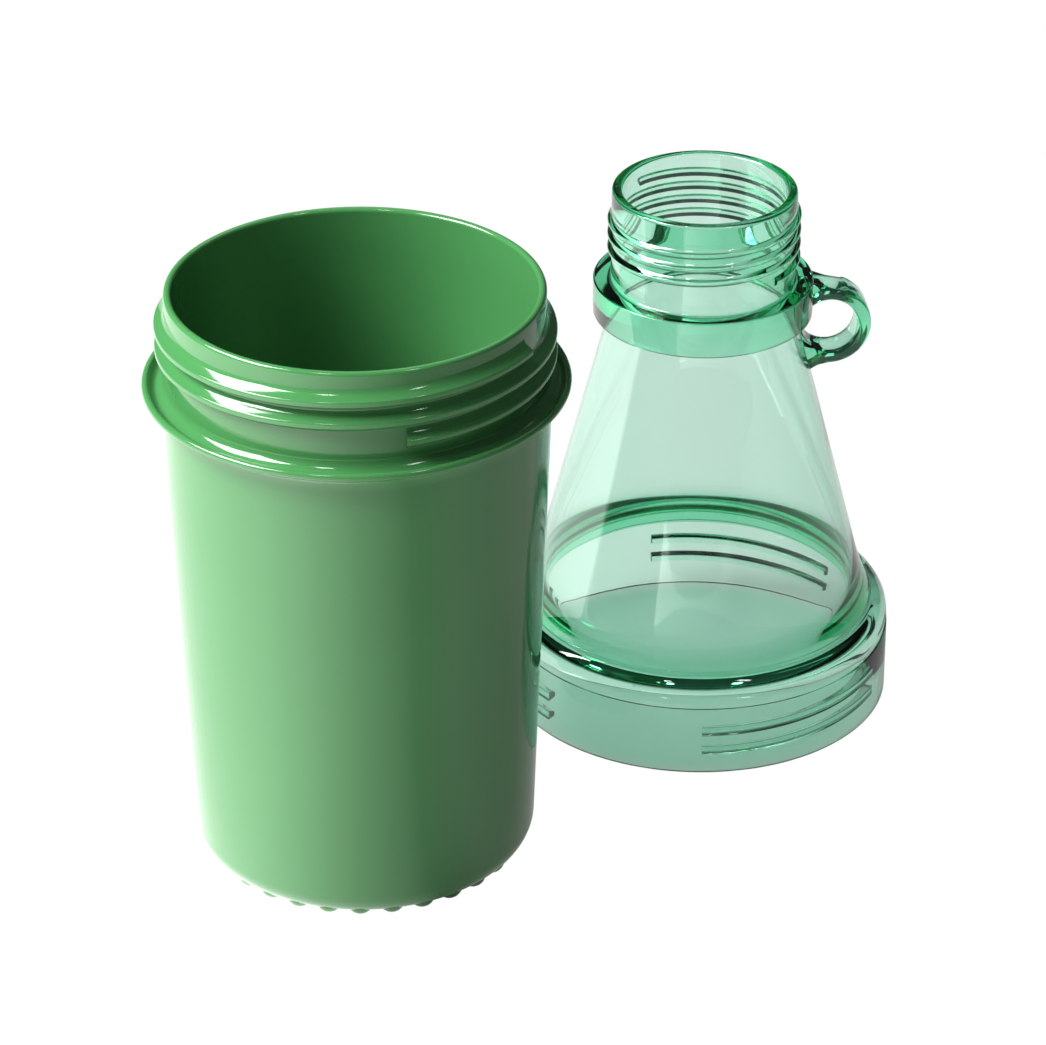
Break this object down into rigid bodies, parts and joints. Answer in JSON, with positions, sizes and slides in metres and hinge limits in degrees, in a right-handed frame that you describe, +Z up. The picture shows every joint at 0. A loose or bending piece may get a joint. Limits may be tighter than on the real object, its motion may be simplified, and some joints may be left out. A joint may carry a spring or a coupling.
{
  "type": "wasp trap",
  "caption": "Wasp trap taken apart: an opaque round cup with a screw mouth beside a clear cone-shaped top with a threaded neck and a hanging eyelet.",
  "frame": {"origin": "centre of the pair's bounding box in plan, on the surface that both pieces stand on", "axes": "+Z up along both pieces' axes, -Y towards the viewer, the cup at -X and -Y and the top at +X and +Y"},
  "size_m": [0.1856, 0.1777, 0.151],
  "materials": {
    "cup_plastic": "smooth glossy moulded plastic, opaque mid green",
    "clear_plastic": "smooth clear moulded plastic with a green tint, finely grained inside the skirt"
  },
  "bodies": {
    "cup": {"cup": "cup_plastic"},
    "top": {"top": "clear_plastic"}
  },
  "joints": [
    {"name": "top_lift", "type": "slide", "parent": "cup", "child": "top", "axis": [0, 0, 1], "range_m": [0, 0.16]}
  ]
}
